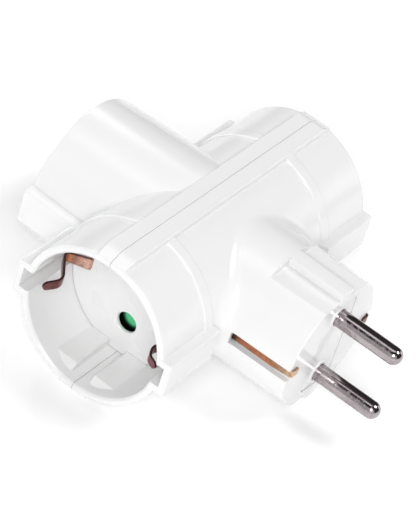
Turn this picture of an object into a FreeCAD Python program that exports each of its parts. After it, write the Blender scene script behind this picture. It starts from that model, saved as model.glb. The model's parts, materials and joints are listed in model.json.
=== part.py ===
import FreeCAD, Part
import math
import os
from FreeCAD import Rotation, Vector

# A three-way earthed socket adapter in the shape of a cross.
# A main tube along X has a socket at each end, a third socket faces +Y, and a
# two-pin earthed plug stands out towards -Y.  The origin is the middle of the
# plug's contact face, halfway between its pins, +Z is up, sizes are in mm.

# Plug and socket system
PIN_PITCH = 19.0
PIN_R = 2.4
PIN_LENGTH = 19.0
PIN_TIP_FLAT = 0.05
RECESS_DEPTH = 18.0
PLUG_PLAY = 1.3
HOLE_PLAY = 0.5

# Gaps between pieces, and how far cutting shapes run past a surface
SEAM_GAP = 0.12
FIT_GAP = 0.2
SLIDE_GAP = 0.05
RUNNING_GAP = 0.08
OVERCUT = 1.0

# Outside of the main tube
TUBE_WALL = 2.0
CROSSING_ROOM = 3.5
RIM_ROUND = 0.8
LIP_CHAMFER = 0.5
RING_SETBACK = 20.4
RING_WIDTH = 3.5
RING_PROUD = 0.5
RING_ROUND = 0.45
BAR_HALF = 4.3
BAR_PROUD = 1.5
BAR_FACET = 3.5
BAR_DROP = 1.6
BAR_ROUND = 0.4

# Ears that guide the side earth contacts
EAR_PROUD = 2.35
EAR_HALF = 5.0
EAR_ROUND = 0.7
NOTCH_DEPTH = 2.6
NOTCH_HALF = 3.0

# Rear cup and plug body, both with draft
REAR_WALL = 1.35
REAR_ROOM = 1.7
REAR_DRAFT = 2.3
PLUG_LENGTH = 20.7
PLUG_DRAFT = 0.9
PLUG_BLEND = 4.5
PLUG_EDGE = 0.35
PLUG_WALL = 2.6
FACE_WALL = 2.7
FLAT_CUT = 2.4
FLAT_WALL = 1.7
FLAT_ROOM = 0.7
FLAT_INNER = 2.2
FLAT_LENGTH = 16.9

# Guide lands in the recess, above and below
LAND_PROUD = 2.25
LAND_INNER = 2.8
LAND_OUTER = 9.1
LAND_SETBACK = 3.0
LAND_SLOPE = 1.5

# Socket floor with its hinge stud and posts
FLOOR_THICK = 3.0
HOLE_POCKET = 2.5
HOLE_LIP = 1.0
FLOOR_FLANGE = 0.8
FLANGE_THICK = 1.4
FLANGE_INSET = 1.0
HOLE_CHAMFER = 0.25
STUD_R = 2.4
POST_R = 1.3
POST_MARGIN = 1.4
LEDGE_WIDTH = 2.2
LEDGE_THICK = 1.5

# Child-proof shutter, its keeper and its spring
SHUTTER_THICK = 1.2
SHUTTER_HUB_WALL = 2.6
SHUTTER_MARGIN = 0.5
SHUTTER_NECK_HALF = 2.4
KEEPER_THICK = 1.2
KEEPER_MARGIN = 0.3
CAP_WALL = 0.6
CAP_ROOM = 0.5
SPRING_START = 0.4
SPRING_STRIP = 0.2
SPRING_SPACING = 0.25
SPRING_HALF_TURNS = 7
SPRING_HEIGHT = 1.2
SPRING_ROOM = 0.35

# Live contacts and the strips that join them
SHEET = 0.6
CLIP_LENGTH = 8.0
CLIP_ROOM = 0.4
CLIP_GRIP = 3.2
CLIP_FLARE = 0.5
CLIP_BEND = 1.0
BUS_THICK = 0.8
BUS_HALF = 2.5
RIVET_R = 1.0
RIVET_HEAD_R = 1.8
RIVET_HEAD = 0.5

# Plug pins and the block that carries them
PIN_ROOT_WALL = 0.2
COLLAR_WALL = 0.8
COLLAR_LENGTH = 1.8
COLLAR_SEAT = 1.0
TAIL_R = 1.45
TAIL_HEAD_R = 2.2
TAIL_HEAD = 0.55
TAB_ROOM = 7.7
CARRIER_HALF = 6.5
CARRIER_MARGIN = 0.7
CARRIER_LIP = 2.5
CARRIER_FLANGE = 3.0
CARRIER_CORNER = 2.0
CARRIER_SUNK = 0.3
ROOT_RING_WALL = 1.2

# Earth contacts, plug earth clips and the plate that joins them
EARTH_WIDTH = 3.4
EARTH_ROOM = 0.6
EARTH_FOLD_OUT = 0.9
EARTH_FOLD_RISE = 3.2
EARTH_BUMP_IN = 5.2
EARTH_BUMP_RISE = 11.5
EARTH_TIP_IN = 2.8
EARTH_TIP_RISE = 16.4
EARTH_TIP_ROUND = 1.5
TONGUE_LENGTH = 9.0
TONGUE_TAB = 3.2
TAB_PROUD = 0.8
GROOVE_DEPTH = 1.6
GROOVE_PLAY = 0.1
GROOVE_LENGTH = 17.8
GROOVE_SLOT = 4.4
STRIP_HALF = 1.7
STRIP_ROOM = 0.5
HOOK_LENGTH = 2.5
HOOK_RELIEF = 0.35
PLATE_THICK = 0.8
PLATE_BAND_X = 5.0
PLATE_BAND_Y = 2.6
PLATE_EDGE = 2.6
PLATE_END = 1.4
PLATE_WING = 1.9
PLATE_MARGIN = 1.0
PLATE_SIDE_ROOM = 1.5
PLATE_REAR_ROOM = 0.3

# Screw from the rear socket into the front shell, and locating dowels
SCREW_R = 1.5
SCREW_HEAD_WALL = 1.2
SCREW_HEAD = 1.2
SCREW_BITE = 9.0
SCREW_CROSS = 1.6
BOSS_WALL = 1.9
BOSS_END = 3.0
WEB_HALF = 1.5
WEB_ROOM = 1.6
DOWEL_R = 0.9
DOWEL_LENGTH = 3.0
DOWEL_PLACE = 15.0

# Radii and heights worked out from the pins outwards
PIN_Z = PIN_PITCH / 2
PIN_ROOT_R = PIN_R + PIN_ROOT_WALL
COLLAR_R = PIN_R + COLLAR_WALL
ROOT_RING_R = PIN_R + ROOT_RING_WALL
HOLE_R = PIN_R + HOLE_PLAY
HOLE_POCKET_R = HOLE_R + HOLE_POCKET
CARRIER_HEIGHT = PIN_Z + COLLAR_R + CARRIER_MARGIN
FLAT_HEIGHT = CARRIER_HEIGHT + FLAT_ROOM + FLAT_WALL
PLUG_R = FLAT_HEIGHT + FLAT_CUT
PLUG_CAVITY_R = PLUG_R - PLUG_WALL
RECESS_R = PLUG_R + PLUG_PLAY
TUBE_R = RECESS_R + TUBE_WALL
REAR_RIM_R = RECESS_R + REAR_WALL
BAR_TOP = TUBE_R + BAR_PROUD
EAR_REACH = TUBE_R + EAR_PROUD
NOTCH_REACH = RECESS_R + NOTCH_DEPTH
LAND_HEIGHT = RECESS_R - LAND_PROUD
LEDGE_R = RECESS_R - LEDGE_WIDTH

# Shutter, keeper and spring, and how deep they sit behind the floor's face
SHUTTER_HUB_R = STUD_R + SHUTTER_HUB_WALL
SHUTTER_BLADE_R = HOLE_R + SHUTTER_MARGIN
SHUTTER_TIP_R = PIN_Z + SHUTTER_BLADE_R
KEEPER_R = SHUTTER_TIP_R + KEEPER_MARGIN
POST_PLACE = KEEPER_R - POST_R - POST_MARGIN
SPRING_R = STUD_R + SPRING_START
CAP_R = SPRING_R + SPRING_HALF_TURNS * SPRING_SPACING + SPRING_ROOM + CAP_WALL
CAP_DEPTH = SPRING_HEIGHT + CAP_ROOM
SHUTTER_BACK = FLOOR_THICK + FIT_GAP + SHUTTER_THICK
KEEPER_BACK = SHUTTER_BACK + FIT_GAP + KEEPER_THICK
CAP_BACK = KEEPER_BACK + CAP_DEPTH

# Earth contact, from the keeper and from the recess
EARTH_PLACE = KEEPER_R + EARTH_ROOM + SHEET / 2
EARTH_FOLD = RECESS_R + EARTH_FOLD_OUT
EARTH_BUMP = RECESS_R - EARTH_BUMP_IN
EARTH_TIP = RECESS_R - EARTH_TIP_IN

# Reaches measured from the point where all the axes cross
PLATE_REACH_Y = EARTH_PLACE + PLATE_EDGE
MAIN_REACH = RECESS_R + CROSSING_ROOM + FLOOR_THICK + RECESS_DEPTH
REAR_REACH = PLATE_REACH_Y + REAR_ROOM + FLOOR_THICK + RECESS_DEPTH
PLUG_REACH = TUBE_R + PLUG_LENGTH
RING_START = MAIN_REACH - RING_SETBACK
RING_END = RING_START + RING_WIDTH

# Live contacts, strips and pins
CLIP_SETBACK = CAP_BACK + CLIP_ROOM
CLIP_LEG = PIN_Z - CLIP_GRIP
CLIP_SIDE = PIN_R + SLIDE_GAP + SHEET / 2
BUS_Z = PIN_Z + PIN_R + SHEET + SHEET
BUS_TOP = BUS_Z + BUS_THICK
CARRIER_BACK = PLUG_REACH - FACE_WALL - CARRIER_FLANGE
CARRIER_FLANGE_HALF = CARRIER_HALF + CARRIER_LIP
TAB_REACH = CARRIER_BACK - TAB_ROOM

# Screw, boss and web
BOSS_R = SCREW_R + BOSS_WALL
SCREW_HEAD_R = SCREW_R + SCREW_HEAD_WALL
SCREW_END = BOSS_END + SCREW_BITE
WEB_START = PLUG_REACH - GROOVE_LENGTH + WEB_ROOM

# Plug earth clips and earth plate
GROOVE_HALF = STRIP_HALF + GROOVE_PLAY
GROOVE_FLOOR = PLUG_R - GROOVE_DEPTH
STRIP_LIE = GROOVE_FLOOR + SHEET / 2
STRIP_INSIDE = PLUG_CAVITY_R - FIT_GAP - SHEET / 2
STRIP_TAIL = EARTH_PLACE + STRIP_ROOM
HOOK_PLACE = STRIP_LIE - HOOK_LENGTH
PLATE_HEIGHT = BOSS_R + FIT_GAP
TAB_TOP = PLATE_HEIGHT + PLATE_THICK + TAB_PROUD
PLATE_SHOULDER = math.sqrt(KEEPER_R ** 2 - PLATE_HEIGHT ** 2) + FIT_GAP
PLATE_REACH_X = MAIN_REACH - RECESS_DEPTH - TONGUE_LENGTH + TONGUE_TAB + PLATE_END
PLATE_SIDE = MAIN_REACH - RECESS_DEPTH - CAP_BACK - PLATE_SIDE_ROOM
PLATE_REAR = REAR_REACH - RECESS_DEPTH - CAP_BACK - PLATE_REAR_ROOM
PLATE_FRONT = STRIP_TAIL + TONGUE_TAB + PLATE_MARGIN
PLATE_FRONT_HALF = STRIP_INSIDE + PLATE_WING
PLATE_WINDOW_X = PLATE_SIDE - PLATE_BAND_X
PLATE_WINDOW_Y = PLATE_REAR - PLATE_BAND_Y

# Directions, and how near two computed places count as the same
ORIGIN = Vector(0, 0, 0)
AXIS_X = Vector(1, 0, 0)
AXIS_Y = Vector(0, 1, 0)
AXIS_Z = Vector(0, 0, 1)
SPACE_DIAGONAL = Vector(1, 1, 1)
SAME = 0.01

# Each socket: its turn about Z and the reach of its rim
SOCKETS = {
    "right": (0.0, MAIN_REACH),
    "rear": (90.0, REAR_REACH),
    "left": (180.0, MAIN_REACH),
}


# Shared helpers

def rounded_edges(corners):
    """Closed run of straight lines, with a tangent arc at each corner that has a radius."""
    stops = []
    for i, corner in enumerate(corners):
        here = Vector(corner[0], corner[1], 0)
        radius = corner[2] if len(corner) > 2 else 0
        if radius == 0:
            stops.append((here, None, here))
            continue
        last = corners[i - 1]
        following = corners[(i + 1) % len(corners)]
        back = (Vector(last[0], last[1], 0) - here).normalize()
        ahead = (Vector(following[0], following[1], 0) - here).normalize()
        half = back.getAngle(ahead) / 2
        run = radius / math.tan(half)
        inward = (back + ahead).normalize()
        middle = here + inward * (radius / math.sin(half) - radius)
        stops.append((here + back * run, middle, here + ahead * run))
    edges = []
    for i, (start, middle, end) in enumerate(stops):
        if middle is not None:
            edges.append(Part.Arc(start, middle, end).toShape())
        following = stops[(i + 1) % len(stops)][0]
        if (following - end).Length > 1e-6:
            edges.append(Part.LineSegment(end, following).toShape())
    return edges


def flat_face(corners):
    return Part.Face(Part.Wire(rounded_edges(corners)))


def turned(corners):
    """Solid of revolution about X from (along, radius) corners."""
    return flat_face(corners).revolve(ORIGIN, AXIS_X, 360)


def plate(corners, low, high):
    """Solid of constant outline in XY between two heights."""
    face = flat_face(corners)
    face.translate(Vector(0, 0, low))
    return face.extrude(Vector(0, 0, high - low))


def block(x0, x1, y0, y1, z0, z1):
    return Part.makeBox(x1 - x0, y1 - y0, z1 - z0, Vector(x0, y0, z0))


def rod(radius, start, end, axis=AXIS_X, place=ORIGIN):
    return Part.makeCylinder(radius, end - start, place + axis * start, axis)


def strip_corners(path, thick):
    """Outline of a bent strip from its centre line, given as (a, b, bend radius) corners."""
    left = []
    right = []
    for i, corner in enumerate(path):
        here = Vector(corner[0], corner[1], 0)
        ends = [path[j] for j in (i - 1, i + 1) if 0 <= j < len(path)]
        if len(ends) == 1:
            along = Vector(ends[0][0], ends[0][1], 0) - here
            along = along.normalize() * (1 if i == 0 else -1)
            side = Vector(-along.y, along.x, 0) * (thick / 2)
            left.append((here.x + side.x, here.y + side.y))
            right.append((here.x - side.x, here.y - side.y))
            continue
        back = (Vector(ends[0][0], ends[0][1], 0) - here).normalize()
        ahead = (Vector(ends[1][0], ends[1][1], 0) - here).normalize()
        half = back.getAngle(ahead) / 2
        inward = (back + ahead).normalize() * (thick / 2 / math.sin(half))
        turn_left = back.cross(ahead).z < 0
        inner = (here.x + inward.x, here.y + inward.y, corner[2] - thick / 2)
        outer = (here.x - inward.x, here.y - inward.y, corner[2] + thick / 2)
        left.append(inner if turn_left else outer)
        right.append(outer if turn_left else inner)
    return left + right[::-1]


def bent_strip(path, thick, half_width):
    return plate(strip_corners(path, thick), -half_width, half_width)


def fused(shapes):
    return shapes[0].multiFuse(shapes[1:]).removeSplitter() if len(shapes) > 1 else shapes[0]


def mirrored(shape, normal):
    return shape.mirror(ORIGIN, normal)


def facing(shape, turn):
    """Turns a piece that was made for the socket on +X towards another socket."""
    copy = shape.copy()
    copy.rotate(ORIGIN, AXIS_Z, turn)
    return copy


def write(name, shape):
    shape = shape.copy()
    shape.translate(Vector(0, PLUG_REACH, 0))
    shape.exportStep("parts/" + name + ".step")
    print(name, len(shape.Solids), "solids", round(shape.Volume, 1), "mm3", shape.isValid())


# Outside of the two shells

def main_tube():
    half = [
        (RING_START, TUBE_R),
        (RING_START, TUBE_R + RING_PROUD, RING_ROUND),
        (RING_END, TUBE_R + RING_PROUD, RING_ROUND),
        (RING_END, TUBE_R),
        (MAIN_REACH, TUBE_R, RIM_ROUND),
        (MAIN_REACH, 0),
    ]
    other = [(-corner[0],) + corner[1:] for corner in half]
    return turned(other[::-1] + half)


def rear_cup():
    start_r = REAR_RIM_R + REAR_REACH * math.tan(math.radians(REAR_DRAFT))
    cup = turned([(0, 0), (0, start_r), (REAR_REACH, REAR_RIM_R, RIM_ROUND / 2), (REAR_REACH, 0)])
    return facing(cup, SOCKETS["rear"][0])


def plug_body():
    start_r = PLUG_R + PLUG_REACH * math.tan(math.radians(PLUG_DRAFT))
    body = turned([(0, 0), (0, start_r), (PLUG_REACH, PLUG_R, PLUG_EDGE), (PLUG_REACH, 0)])
    return facing(body, -90)


def blended_tube_and_plug():
    """Main tube and plug body, with a rounded blend where they meet."""
    joined = main_tube().fuse(plug_body())
    crease = []
    for edge in joined.Edges:
        middle = edge.CenterOfMass
        on_tube = all(abs(math.hypot(v.Y, v.Z) - TUBE_R) < SAME for v in edge.Vertexes)
        inside = all(abs(v.X) < RING_START - SAME for v in edge.Vertexes)
        if on_tube and inside and middle.y < -SAME:
            crease.append(edge)
    return joined.makeFillet(PLUG_BLEND, crease)


def long_bar():
    """Flat bar along the top of the main tube, with a sloped facet at each end."""
    flat = MAIN_REACH - BAR_FACET
    low = TUBE_R - BAR_FACET
    corners = [
        (-MAIN_REACH, low),
        (-MAIN_REACH, BAR_TOP - BAR_DROP, BAR_ROUND),
        (-flat, BAR_TOP, BAR_FACET),
        (flat, BAR_TOP, BAR_FACET),
        (MAIN_REACH, BAR_TOP - BAR_DROP, BAR_ROUND),
        (MAIN_REACH, low),
    ]
    bar = plate(corners, -BAR_HALF, BAR_HALF)
    bar.rotate(ORIGIN, AXIS_X, 90)
    long_edges = [e for e in bar.Edges if min(v.Z for v in e.Vertexes) > low + SAME
                  and abs(abs(e.CenterOfMass.y) - BAR_HALF) < SAME]
    return bar.makeFillet(BAR_ROUND, long_edges)


def ear(reach, start):
    """Rib beside a socket, from start to the rim, for the socket on +X."""
    inner = RECESS_R
    rib = block(start, reach, inner, EAR_REACH, -EAR_HALF, EAR_HALF)
    rounded = [e for e in rib.Edges if min(v.Y for v in e.Vertexes) > inner + SAME]
    return rib.makeFillet(EAR_ROUND, rounded)


def outside():
    shapes = [blended_tube_and_plug(), rear_cup(), long_bar(), mirrored(long_bar(), AXIS_Z)]
    for turn, reach in SOCKETS.values():
        start = RING_START if reach == MAIN_REACH else TUBE_R - RING_PROUD
        rib = ear(reach, start)
        shapes.append(facing(rib, turn))
        shapes.append(facing(mirrored(rib, AXIS_Y), turn))
    return fused(shapes)


# Hollows of the shells

def recess(reach):
    """Round recess with a small lead-in at its lip, and the two earth notches."""
    floor = reach - RECESS_DEPTH
    hollow = turned([
        (floor, 0),
        (floor, RECESS_R),
        (reach - LIP_CHAMFER, RECESS_R, LIP_CHAMFER),
        (reach + LIP_CHAMFER, RECESS_R + 2 * LIP_CHAMFER),
        (reach + LIP_CHAMFER, 0),
    ])
    notch = block(floor, reach + LIP_CHAMFER, -NOTCH_REACH, NOTCH_REACH, -NOTCH_HALF, NOTCH_HALF)
    return hollow.fuse(notch)


def lands(reach):
    """Guide lands above and below in the recess, on each side of the plug's key."""
    floor = reach - RECESS_DEPTH
    front = reach - LAND_SETBACK
    top = RECESS_R + LIP_CHAMFER
    profile = [
        (floor + SLIDE_GAP, LAND_HEIGHT),
        (front - LAND_SLOPE, LAND_HEIGHT),
        (front, LAND_HEIGHT + LAND_SLOPE),
        (front, top),
        (floor + SLIDE_GAP, top),
    ]
    made = []
    for side in (-1, 1):
        low, high = sorted((side * LAND_INNER, side * LAND_OUTER))
        land = plate(profile, -high, -low)
        land.rotate(ORIGIN, AXIS_X, 90)
        made.append(land.common(rod(top, floor, reach)))
        made.append(mirrored(made[-1], AXIS_Z))
    return made


def plug_hollow():
    inner = rod(PLUG_CAVITY_R, 0, PLUG_REACH - FACE_WALL, -AXIS_Y)
    limit = FLAT_HEIGHT - FLAT_WALL
    return inner.common(block(-PLUG_R, PLUG_R, -PLUG_REACH, 0, -limit, limit))


def plug_side_passage():
    """Groove on the plug's +X side and the slot that lets the strip into the body."""
    groove_end = -PLUG_REACH + GROOVE_LENGTH
    groove = plate([
        (GROOVE_FLOOR - HOOK_RELIEF, -PLUG_REACH - OVERCUT),
        (GROOVE_FLOOR - HOOK_RELIEF, -PLUG_REACH),
        (GROOVE_FLOOR, -PLUG_REACH + HOOK_RELIEF),
        (GROOVE_FLOOR, groove_end),
        (PLUG_R + OVERCUT, groove_end),
        (PLUG_R + OVERCUT, -PLUG_REACH - OVERCUT),
    ], -GROOVE_HALF, GROOVE_HALF)
    slot_start = groove_end - OVERCUT
    slot = block(STRIP_INSIDE - SHEET, GROOVE_FLOOR + SHEET + FIT_GAP, slot_start,
                 slot_start + GROOVE_SLOT, -GROOVE_HALF, GROOVE_HALF)
    return groove.fuse(slot)


def plug_cuts():
    """Guide flats above and below, the opening for the pin block and the side grooves."""
    cuts = []
    flat_end = -PLUG_REACH + FLAT_LENGTH
    flat = block(FLAT_INNER, PLUG_R, -PLUG_REACH - OVERCUT, flat_end, FLAT_HEIGHT, PLUG_R + OVERCUT)
    for shape in (flat, mirrored(flat, AXIS_X)):
        cuts.append(shape)
        cuts.append(mirrored(shape, AXIS_Z))
    window = plate(carrier_corners(FIT_GAP / 2), PLUG_REACH - FACE_WALL - OVERCUT, PLUG_REACH + OVERCUT)
    window.rotate(ORIGIN, AXIS_X, 90)
    cuts.append(window)
    passage = plug_side_passage()
    cuts.append(passage)
    cuts.append(mirrored(passage, AXIS_X))
    return cuts


def floor_groove(reach):
    """Groove that traps the flange of a main socket's floor between the two shells."""
    high = reach - RECESS_DEPTH - FLANGE_INSET + FIT_GAP / 2
    low = high - FLANGE_THICK - FIT_GAP
    return rod(RECESS_R + FLOOR_FLANGE, low, high)


def dowels(gap):
    made = []
    for x in (-DOWEL_PLACE, DOWEL_PLACE):
        for z in (-1, 1):
            place = Vector(x, 0, z * (RECESS_R + BAR_TOP) / 2)
            made.append(rod(DOWEL_R + gap, -SEAM_GAP, DOWEL_LENGTH + gap, AXIS_Y, place))
    return made


def shells():
    cuts = [rod(RECESS_R, -MAIN_REACH + RECESS_DEPTH, MAIN_REACH - RECESS_DEPTH)]
    cuts.append(facing(rod(RECESS_R, 0, REAR_REACH - RECESS_DEPTH), SOCKETS["rear"][0]))
    cuts.append(plug_hollow())
    for name, (turn, reach) in SOCKETS.items():
        cuts.append(facing(recess(reach), turn))
        if reach == MAIN_REACH:
            cuts.append(facing(floor_groove(reach), turn))
    body = outside().cut(fused(cuts))
    body = body.cut(Part.makeCompound(plug_cuts()))
    added = [facing(land, turn) for turn, reach in SOCKETS.values() for land in lands(reach)]
    back = REAR_REACH - RECESS_DEPTH - FLOOR_THICK - SLIDE_GAP
    ledge = rod(RECESS_R + SLIDE_GAP, back - LEDGE_THICK, back).cut(rod(LEDGE_R, 0, back))
    added.append(facing(ledge, SOCKETS["rear"][0]))
    body = body.multiFuse(added)
    size = 2 * MAIN_REACH
    front = body.common(block(-size, size, -size, -SEAM_GAP / 2, -size, size))
    rear = body.common(block(-size, size, SEAM_GAP / 2, size, -size, size))
    web_side = PLUG_CAVITY_R + WEB_HALF / 2
    web = block(-web_side, web_side, SLIDE_GAP - CARRIER_BACK, -WEB_START, -WEB_HALF, WEB_HALF)
    boss = rod(BOSS_R, BOSS_END, CARRIER_BACK - SLIDE_GAP, -AXIS_Y)
    bore = rod(SCREW_R + SLIDE_GAP, BOSS_END, SCREW_END + OVERCUT, -AXIS_Y)
    front = front.multiFuse([web, boss.cut(bore)] + dowels(0))
    rear = rear.cut(Part.makeCompound(dowels(SLIDE_GAP)))
    return front, rear


# Pieces that each socket has, made for the socket on +X

def socket_floor(reach, screwed):
    """Insert that closes the recess, with pin holes, earth slots, hinge stud and posts."""
    front = reach - RECESS_DEPTH
    back = front - FLOOR_THICK
    corners = [(back, 0), (back, RECESS_R - FIT_GAP)]
    if not screwed:
        flange = front - FLANGE_INSET
        out = RECESS_R + FLOOR_FLANGE - FIT_GAP / 2
        corners += [(flange - FLANGE_THICK, RECESS_R - FIT_GAP), (flange - FLANGE_THICK, out)]
        corners += [(flange, out), (flange, RECESS_R - FIT_GAP)]
    corners += [(front, RECESS_R - FIT_GAP), (front, 0)]
    stud_end = front - CAP_BACK
    shapes = [turned(corners), rod(STUD_R, stud_end, back)]
    post_end = front - KEEPER_BACK
    for side in (-1, 1):
        shapes.append(rod(POST_R, post_end, back, AXIS_X, Vector(0, side * POST_PLACE, 0)))
    disc = fused(shapes)
    cuts = []
    for side in (-1, 1):
        hole = turned([
            (back - OVERCUT, 0),
            (back - OVERCUT, HOLE_POCKET_R),
            (front - HOLE_LIP, HOLE_POCKET_R),
            (front - HOLE_LIP, HOLE_R),
            (front - HOLE_CHAMFER, HOLE_R),
            (front + HOLE_CHAMFER, HOLE_R + 2 * HOLE_CHAMFER),
            (front + HOLE_CHAMFER, 0),
        ])
        hole.translate(Vector(0, 0, side * PIN_Z))
        cuts.append(hole)
        slot_in = EARTH_PLACE - SHEET / 2 - SLIDE_GAP
        slot_out = EARTH_PLACE + SHEET + SLIDE_GAP
        low, high = sorted((side * slot_in, side * slot_out))
        half = EARTH_WIDTH / 2 + SLIDE_GAP
        cuts.append(block(back - OVERCUT, front + OVERCUT, low, high, -half, half))
    if screwed:
        cuts.append(rod(SCREW_R + SLIDE_GAP, stud_end - OVERCUT, front + OVERCUT))
        cuts.append(rod(SCREW_HEAD_R + FIT_GAP, front - SCREW_HEAD - FIT_GAP, front + OVERCUT))
    return disc.cut(Part.makeCompound(cuts))


def shutter(reach):
    """Two-bladed shutter that turns on the floor's stud, its blades behind the pin holes."""
    low = reach - RECESS_DEPTH - SHUTTER_BACK
    high = low + SHUTTER_THICK
    hub = rod(SHUTTER_HUB_R, low, high)
    blade = rod(SHUTTER_BLADE_R, low, high, AXIS_X, Vector(0, 0, PIN_Z))
    blade = blade.fuse(block(low, high, -SHUTTER_NECK_HALF, SHUTTER_NECK_HALF, 0, PIN_Z))
    whole = fused([hub, blade, mirrored(blade, AXIS_Z)])
    return whole.cut(rod(STUD_R + RUNNING_GAP, low - OVERCUT, high + OVERCUT))


def shutter_keeper(reach):
    """Cover behind the shutter, held on the floor's posts, with a cap round the spring."""
    low = reach - RECESS_DEPTH - KEEPER_BACK
    high = low + KEEPER_THICK
    cap_end = low - CAP_DEPTH
    body = rod(KEEPER_R, low, high).fuse(rod(CAP_R, cap_end, high))
    cuts = [rod(CAP_R - CAP_WALL, cap_end + CAP_WALL, high + OVERCUT)]
    cuts.append(rod(STUD_R + RUNNING_GAP, cap_end - OVERCUT, high + OVERCUT))
    for side in (-1, 1):
        for radius, place in ((HOLE_R + FIT_GAP, Vector(0, 0, side * PIN_Z)),
                              (POST_R + SLIDE_GAP, Vector(0, side * POST_PLACE, 0))):
            cuts.append(rod(radius, low - OVERCUT, high + OVERCUT, AXIS_X, place))
    return body.cut(fused(cuts))


def shutter_spring(reach):
    """Flat spiral of steel strip under the keeper's cap that turns the shutter back."""
    high = reach - RECESS_DEPTH - SHUTTER_BACK - FIT_GAP
    sides = []
    for offset in (-SPRING_STRIP / 2, SPRING_STRIP / 2):
        arcs = []
        for k in range(SPRING_HALF_TURNS):
            turn = k % 2
            radius = SPRING_R + k * SPRING_SPACING + offset
            centre = Vector(turn * SPRING_SPACING, 0, 0)
            angles = [180 * turn + quarter for quarter in (0, 90, 180)]
            ways = [Rotation(AXIS_Z, angle).multVec(AXIS_X) * radius for angle in angles]
            arcs.append(Part.Arc(*[centre + way for way in ways]).toShape())
        sides.append(arcs)
    caps = [
        Part.LineSegment(sides[0][end].Vertexes[end].Point, sides[1][end].Vertexes[end].Point).toShape()
        for end in (0, -1)
    ]
    outline = Part.Wire(Part.__sortEdges__(sides[0] + sides[1] + caps))
    spiral = Part.Face(outline).extrude(Vector(0, 0, -SPRING_HEIGHT))
    spiral.rotate(ORIGIN, SPACE_DIAGONAL, 120)
    spiral.translate(Vector(high - SLIDE_GAP, 0, 0))
    return spiral


def earth_contact(reach):
    """Sprung strip beside the recess, with a tongue that goes back to the earth plate."""
    floor = reach - RECESS_DEPTH
    lie = floor + SHEET / 2
    tongue = floor - TONGUE_LENGTH
    path = [
        (tongue, EARTH_PLACE, 0),
        (lie, EARTH_PLACE, SHEET),
        (floor + EARTH_FOLD_RISE, EARTH_FOLD, 2 * SHEET),
        (floor + EARTH_BUMP_RISE, EARTH_BUMP, 4 * SHEET),
        (floor + EARTH_TIP_RISE, EARTH_TIP, 0),
    ]
    strip = bent_strip(path, SHEET, EARTH_WIDTH / 2)
    tip_edges = [e for e in strip.Edges if min(v.X for v in e.Vertexes) > floor + EARTH_BUMP_RISE
                 and abs(e.Length - SHEET) < SAME]
    strip = strip.makeFillet(EARTH_TIP_ROUND, tip_edges)
    tab = block(tongue, tongue + TONGUE_TAB, EARTH_PLACE - SHEET / 2, EARTH_PLACE + SHEET / 2, 0, TAB_TOP)
    return strip.fuse(tab).removeSplitter()


def clip_centre(reach):
    floor = reach - RECESS_DEPTH
    return floor - CLIP_SETBACK - CLIP_LENGTH / 2


def live_contact(reach):
    """Fork of bent strip that grips an inserted pin, for the upper pin line."""
    top = BUS_Z - SHEET / 2
    flare = CLIP_LEG + 2 * SHEET
    path = [
        (-CLIP_SIDE - CLIP_FLARE, CLIP_LEG, 0),
        (-CLIP_SIDE, flare, SHEET),
        (-CLIP_SIDE, top, CLIP_BEND),
        (CLIP_SIDE, top, CLIP_BEND),
        (CLIP_SIDE, flare, SHEET),
        (CLIP_SIDE + CLIP_FLARE, CLIP_LEG, 0),
    ]
    fork = bent_strip(path, SHEET, CLIP_LENGTH / 2)
    fork.rotate(ORIGIN, SPACE_DIAGONAL, 120)
    fork.translate(Vector(clip_centre(reach), 0, 0))
    return fork.cut(rod(RIVET_R + SLIDE_GAP, 0, 2 * BUS_TOP, AXIS_Z, Vector(clip_centre(reach), 0, 0)))


def rivet(reach):
    low = BUS_Z - SHEET - RIVET_HEAD
    place = Vector(clip_centre(reach), 0, 0)
    shank = rod(RIVET_R, low, BUS_TOP + RIVET_HEAD, AXIS_Z, place)
    heads = [rod(RIVET_HEAD_R, low, low + RIVET_HEAD, AXIS_Z, place)]
    heads.append(rod(RIVET_HEAD_R, BUS_TOP, BUS_TOP + RIVET_HEAD, AXIS_Z, place))
    return fused([shank] + heads)


# Pieces shared by the sockets

def busbar():
    """Cross-shaped strip that joins three contacts to one plug pin, upper pin line."""
    main_end = clip_centre(MAIN_REACH) + CLIP_LENGTH / 2
    rear_end = clip_centre(REAR_REACH) + CLIP_LENGTH / 2
    tab_far = TAB_REACH + BUS_THICK
    bars = [
        block(-main_end, main_end, -BUS_HALF, BUS_HALF, BUS_Z, BUS_TOP),
        block(-BUS_HALF, BUS_HALF, -tab_far, rear_end, BUS_Z, BUS_TOP),
        block(-BUS_HALF, BUS_HALF, -tab_far, -TAB_REACH, PIN_Z - BUS_HALF, BUS_TOP),
    ]
    cuts = [rod(TAIL_R + SLIDE_GAP, TAB_REACH - OVERCUT, tab_far + OVERCUT, -AXIS_Y, Vector(0, 0, PIN_Z))]
    for turn, reach in SOCKETS.values():
        place = Vector(clip_centre(reach), 0, 0)
        hole = rod(RIVET_R + SLIDE_GAP, BUS_Z - OVERCUT, BUS_TOP + OVERCUT, AXIS_Z, place)
        cuts.append(facing(hole, turn))
    return fused(bars).cut(Part.makeCompound(cuts))


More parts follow.
